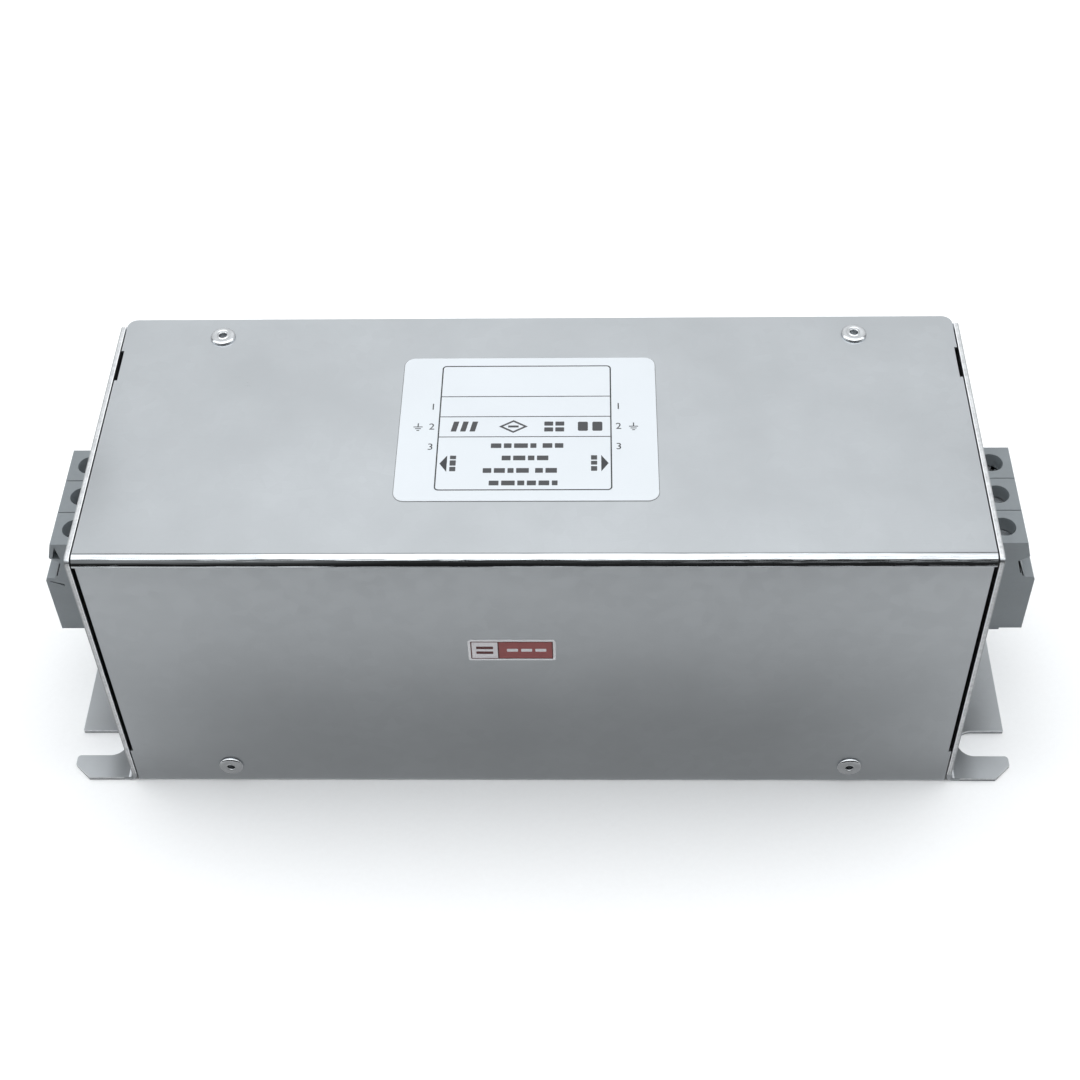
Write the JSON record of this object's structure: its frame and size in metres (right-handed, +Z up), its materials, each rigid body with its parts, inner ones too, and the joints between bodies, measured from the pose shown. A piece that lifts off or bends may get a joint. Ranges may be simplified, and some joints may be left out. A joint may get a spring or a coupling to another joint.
{
  "type": "emi line filter",
  "caption": "Three-phase line filter: plated folded-steel case with slotted mounting flanges, riveted cover, screw terminal block at each end, ring choke and capacitor boards inside.",
  "frame": {"origin": "middle of the mounting plane, under the centre of the case", "axes": "+X from the line end to the load end, +Y to the back, +Z up from the mounting plane"},
  "size_m": [0.2546, 0.0859, 0.0909],
  "materials": {
    "zinc_sheet": "bright zinc-plated sheet, soft satin sheen",
    "zinc_sheet_cover": "bright zinc-plated sheet, soft satin sheen",
    "rivet_steel": "bright rolled rivet head",
    "dark_steel": "dark broken pin end",
    "label_white": "printed film label",
    "terminal_grey": "moulded polyamide, fine matt",
    "screw_steel": "zinc-plated steel",
    "cage_steel": "yellow-passivated steel",
    "tinned_copper": "tinned copper",
    "core_green": "epoxy-coated ring core",
    "enamelled_copper": "enamelled copper",
    "natural_plastic": "unfilled plastic",
    "board_green": "lacquered laminate",
    "capacitor_yellow": "moulded case",
    "capacitor_blue": "dipped case",
    "resistor_tan": "lacquered body"
  },
  "bodies": {
    "case": {"chassis": "zinc_sheet", "cover": "zinc_sheet_cover", "cover_rivets": "rivet_steel", "rivet_mandrels": "dark_steel", "rating_label": "label_white", "front_badge": "label_white", "terminal_housing_line_1": "terminal_grey", "terminal_housing_line_2": "terminal_grey", "terminal_housing_line_3": "terminal_grey", "terminal_housing_load_1": "terminal_grey", "terminal_housing_load_2": "terminal_grey", "terminal_housing_load_3": "terminal_grey", "current_bar_line_1": "tinned_copper", "current_bar_line_2": "tinned_copper", "current_bar_line_3": "tinned_copper", "current_bar_load_1": "tinned_copper", "current_bar_load_2": "tinned_copper", "current_bar_load_3": "tinned_copper", "earth_studs": "screw_steel", "earth_nuts": "screw_steel", "earth_washers": "screw_steel", "choke_core": "core_green", "winding_1": "enamelled_copper", "winding_2": "enamelled_copper", "winding_3": "enamelled_copper", "choke_divider": "natural_plastic", "choke_seat": "natural_plastic", "choke_screw": "screw_steel", "board_line": "board_green", "board_load": "board_green", "x_capacitors_line": "capacitor_yellow", "x_capacitors_load": "capacitor_yellow", "y_capacitors_line": "capacitor_blue", "y_capacitors_load": "capacitor_blue", "discharge_resistors": "resistor_tan", "board_spacers": "natural_plastic", "board_screws": "screw_steel", "line_lead_1": "enamelled_copper", "line_lead_2": "enamelled_copper", "line_lead_3": "enamelled_copper", "load_lead_1": "enamelled_copper", "load_lead_2": "enamelled_copper", "load_lead_3": "enamelled_copper", "insulating_liner": "natural_plastic"},
    "screw_line_1": {"clamp_screw_line_1": "screw_steel"},
    "cage_line_1": {"clamp_cage_line_1": "cage_steel"},
    "screw_line_2": {"clamp_screw_line_2": "screw_steel"},
    "cage_line_2": {"clamp_cage_line_2": "cage_steel"},
    "screw_line_3": {"clamp_screw_line_3": "screw_steel"},
    "cage_line_3": {"clamp_cage_line_3": "cage_steel"},
    "screw_load_1": {"clamp_screw_load_1": "screw_steel"},
    "cage_load_1": {"clamp_cage_load_1": "cage_steel"},
    "screw_load_2": {"clamp_screw_load_2": "screw_steel"},
    "cage_load_2": {"clamp_cage_load_2": "cage_steel"},
    "screw_load_3": {"clamp_screw_load_3": "screw_steel"},
    "cage_load_3": {"clamp_cage_load_3": "cage_steel"}
  },
  "joints": [
    {"name": "screw_line_1_turn", "type": "hinge", "parent": "case", "child": "screw_line_1", "pos_m": [-0.118, 0.01125, 0.055], "axis": [0, 0, -1], "range_deg": [0, 3500]},
    {"name": "cage_line_1_rise", "type": "slide", "parent": "case", "child": "cage_line_1", "axis": [0, 0, 1], "range_m": [0, 0.00778]},
    {"name": "screw_line_2_turn", "type": "hinge", "parent": "case", "child": "screw_line_2", "pos_m": [-0.118, 0, 0.055], "axis": [0, 0, -1], "range_deg": [0, 3500]},
    {"name": "cage_line_2_rise", "type": "slide", "parent": "case", "child": "cage_line_2", "axis": [0, 0, 1], "range_m": [0, 0.00778]},
    {"name": "screw_line_3_turn", "type": "hinge", "parent": "case", "child": "screw_line_3", "pos_m": [-0.118, -0.01125, 0.055], "axis": [0, 0, -1], "range_deg": [0, 3500]},
    {"name": "cage_line_3_rise", "type": "slide", "parent": "case", "child": "cage_line_3", "axis": [0, 0, 1], "range_m": [0, 0.00778]},
    {"name": "screw_load_1_turn", "type": "hinge", "parent": "case", "child": "screw_load_1", "pos_m": [0.118, 0.01125, 0.055], "axis": [0, 0, -1], "range_deg": [0, 3500]},
    {"name": "cage_load_1_rise", "type": "slide", "parent": "case", "child": "cage_load_1", "axis": [0, 0, 1], "range_m": [0, 0.00778]},
    {"name": "screw_load_2_turn", "type": "hinge", "parent": "case", "child": "screw_load_2", "pos_m": [0.118, 0, 0.055], "axis": [0, 0, -1], "range_deg": [0, 3500]},
    {"name": "cage_load_2_rise", "type": "slide", "parent": "case", "child": "cage_load_2", "axis": [0, 0, 1], "range_m": [0, 0.00778]},
    {"name": "screw_load_3_turn", "type": "hinge", "parent": "case", "child": "screw_load_3", "pos_m": [0.118, -0.01125, 0.055], "axis": [0, 0, -1], "range_deg": [0, 3500]},
    {"name": "cage_load_3_rise", "type": "slide", "parent": "case", "child": "cage_load_3", "axis": [0, 0, 1], "range_m": [0, 0.00778]}
  ],
  "couplings": [
    {"joint": "screw_line_1_turn", "follows": "cage_line_1_rise", "rad_per_m": 7854},
    {"joint": "screw_line_2_turn", "follows": "cage_line_2_rise", "rad_per_m": 7854},
    {"joint": "screw_line_3_turn", "follows": "cage_line_3_rise", "rad_per_m": 7854},
    {"joint": "screw_load_1_turn", "follows": "cage_load_1_rise", "rad_per_m": 7854},
    {"joint": "screw_load_2_turn", "follows": "cage_load_2_rise", "rad_per_m": 7854},
    {"joint": "screw_load_3_turn", "follows": "cage_load_3_rise", "rad_per_m": 7854}
  ]
}
